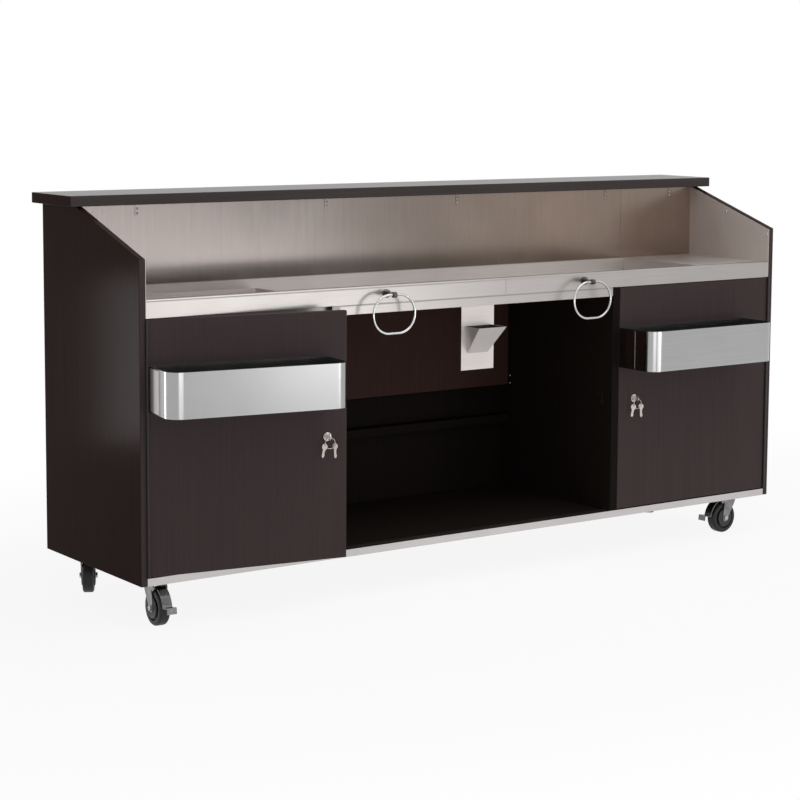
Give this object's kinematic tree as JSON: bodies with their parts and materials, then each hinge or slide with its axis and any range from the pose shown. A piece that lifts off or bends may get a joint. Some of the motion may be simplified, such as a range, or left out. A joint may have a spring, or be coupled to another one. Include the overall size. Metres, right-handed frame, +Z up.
{
  "type": "mobile bar unit",
  "caption": "Mobile bar: dark laminate cabinet on swivel casters with raised bar top, stainless work deck, ice bin, open rack bay and lockable doors with speed rails.",
  "frame": {"origin": "on the floor, under the centre of the bounding box at rest, with the left door ajar", "axes": "+X to the bartender's right, +Y towards the customers, +Z up"},
  "size_m": [2.38, 0.8006, 1.156],
  "materials": {
    "laminate": "satin dark espresso laminate",
    "laminate_edge": "satin dark edge band",
    "stainless": "brushed stainless sheet",
    "zinc": "bright zinc plating",
    "chrome": "polished chrome plate",
    "hinge_black": "black oxide coating",
    "tyre": "matt black rubber",
    "foam": "plain foam insulation"
  },
  "bodies": {
    "cabinet": {"left_end_panel": "laminate", "right_end_panel": "laminate", "customer_panel": "laminate", "bar_top": "laminate", "left_bay_wall": "laminate", "right_bay_wall": "laminate", "bay_skirt": "laminate", "right_cabinet_shelf": "laminate", "base_shelf": "laminate_edge", "rear_stretcher": "laminate_edge", "shelf_cleats": "laminate_edge", "base_edge_strip": "stainless", "backsplash": "stainless", "side_liners": "stainless", "work_deck": "stainless", "deck_plates": "stainless", "well_walls": "stainless", "bay_lip": "stainless", "ice_bin": "stainless", "cap_catcher": "stainless", "ring_posts": "chrome", "ice_bin_drain": "chrome", "lock_strikes": "zinc", "caster_plates": "zinc", "caster_bolts": "zinc", "frame_leaves": "hinge_black", "hinge_pins": "hinge_black", "ice_bin_jacket": "foam"},
    "left_door_set": {"left_door": "laminate", "left_door_leaf": "hinge_black", "left_speed_rail": "stainless", "left_lock_barrel": "chrome"},
    "left_lock": {"left_lock_plug": "chrome", "left_lock_cam": "zinc", "left_lock_key": "chrome"},
    "left_keys": {"left_spare_key": "chrome"},
    "right_door_set": {"right_door": "laminate", "right_door_leaf": "hinge_black", "right_speed_rail": "stainless", "right_lock_barrel": "chrome"},
    "right_lock": {"right_lock_plug": "chrome", "right_lock_cam": "zinc", "right_lock_key": "chrome"},
    "right_keys": {"right_spare_key": "chrome"},
    "left_ring": {"left_towel_ring": "chrome"},
    "right_ring": {"right_towel_ring": "chrome"},
    "front_left_swivel": {"front_left_fork": "zinc", "front_left_axle": "zinc"},
    "front_left_roll": {"front_left_wheel": "tyre"},
    "front_right_swivel": {"front_right_fork": "zinc", "front_right_axle": "zinc"},
    "front_right_roll": {"front_right_wheel": "tyre"},
    "rear_left_swivel": {"rear_left_fork": "zinc", "rear_left_axle": "zinc"},
    "rear_left_roll": {"rear_left_wheel": "tyre"},
    "rear_right_swivel": {"rear_right_fork": "zinc", "rear_right_axle": "zinc"},
    "rear_right_roll": {"rear_right_wheel": "tyre"},
    "front_left_brake": {"front_left_pedal": "zinc"},
    "front_right_brake": {"front_right_pedal": "zinc"}
  },
  "joints": [
    {"name": "left_door_swing", "type": "hinge", "parent": "cabinet", "child": "left_door_set", "pos_m": [-1.1395, -0.18267, 0.5], "axis": [0, 0, -1], "range_deg": [-8.5, 91.5]},
    {"name": "right_door_swing", "type": "hinge", "parent": "cabinet", "child": "right_door_set", "pos_m": [1.1395, -0.18267, 0.5], "axis": [0, 0, 1], "range_deg": [0, 100]},
    {"name": "left_lock_turn", "type": "hinge", "parent": "left_door_set", "child": "left_lock", "pos_m": [-0.62116, -0.25609, 0.497], "axis": [-0.1478, -0.989, 0], "range_deg": [0, 90]},
    {"name": "right_lock_turn", "type": "hinge", "parent": "right_door_set", "child": "right_lock", "pos_m": [0.568, -0.17867, 0.497], "axis": [0, 1, 0], "range_deg": [0, 90]},
    {"name": "left_keys_swing", "type": "hinge", "parent": "left_lock", "child": "left_keys", "pos_m": [-0.62419, -0.27637, 0.497], "axis": [-0.989, 0.1478, 0], "range_deg": [-8, 70]},
    {"name": "right_keys_swing", "type": "hinge", "parent": "right_lock", "child": "right_keys", "pos_m": [0.568, -0.19917, 0.497], "axis": [-1, 0, 0], "range_deg": [-8, 70]},
    {"name": "left_ring_swing", "type": "hinge", "parent": "cabinet", "child": "left_ring", "pos_m": [-0.37, -0.21867, 0.8735], "axis": [-1, 0, 0], "range_deg": [-30, 90]},
    {"name": "right_ring_swing", "type": "hinge", "parent": "cabinet", "child": "right_ring", "pos_m": [0.362, -0.21867, 0.8735], "axis": [-1, 0, 0], "range_deg": [-30, 90]},
    {"name": "front_left_caster_swivel", "type": "hinge", "parent": "cabinet", "child": "front_left_swivel", "pos_m": [-1.074, -0.08367, 0.115], "axis": [0, 0, 1], "continuous": true},
    {"name": "front_left_wheel_roll", "type": "hinge", "parent": "front_left_swivel", "child": "front_left_roll", "pos_m": [-1.07546, -0.11163, 0.05], "axis": [0.9986, -0.0523, 0], "continuous": true},
    {"name": "front_left_brake_press", "type": "hinge", "parent": "front_left_swivel", "child": "front_left_brake", "pos_m": [-1.07609, -0.12362, 0.10649], "axis": [0.9986, -0.0523, 0], "range_deg": [0, 9]},
    {"name": "front_right_caster_swivel", "type": "hinge", "parent": "cabinet", "child": "front_right_swivel", "pos_m": [1.074, -0.08367, 0.115], "axis": [0, 0, 1], "continuous": true},
    {"name": "front_right_wheel_roll", "type": "hinge", "parent": "front_right_swivel", "child": "front_right_roll", "pos_m": [1.04602, -0.08465, 0.05], "axis": [0.0349, -0.9994, 0], "continuous": true},
    {"name": "front_right_brake_press", "type": "hinge", "parent": "front_right_swivel", "child": "front_right_brake", "pos_m": [1.03402, -0.08507, 0.10649], "axis": [0.0349, -0.9994, 0], "range_deg": [0, 9]},
    {"name": "rear_left_caster_swivel", "type": "hinge", "parent": "cabinet", "child": "rear_left_swivel", "pos_m": [-1.074, 0.30533, 0.115], "axis": [0, 0, 1], "continuous": true},
    {"name": "rear_left_wheel_roll", "type": "hinge", "parent": "rear_left_swivel", "child": "rear_left_roll", "pos_m": [-1.06, 0.32958, 0.05], "axis": [-0.866, 0.5, 0], "continuous": true},
    {"name": "rear_right_caster_swivel", "type": "hinge", "parent": "cabinet", "child": "rear_right_swivel", "pos_m": [1.074, 0.30533, 0.115], "axis": [0, 0, 1], "continuous": true},
    {"name": "rear_right_wheel_roll", "type": "hinge", "parent": "rear_right_swivel", "child": "rear_right_roll", "pos_m": [1.05794, 0.28239, 0.05], "axis": [0.8192, -0.5736, 0], "continuous": true}
  ]
}
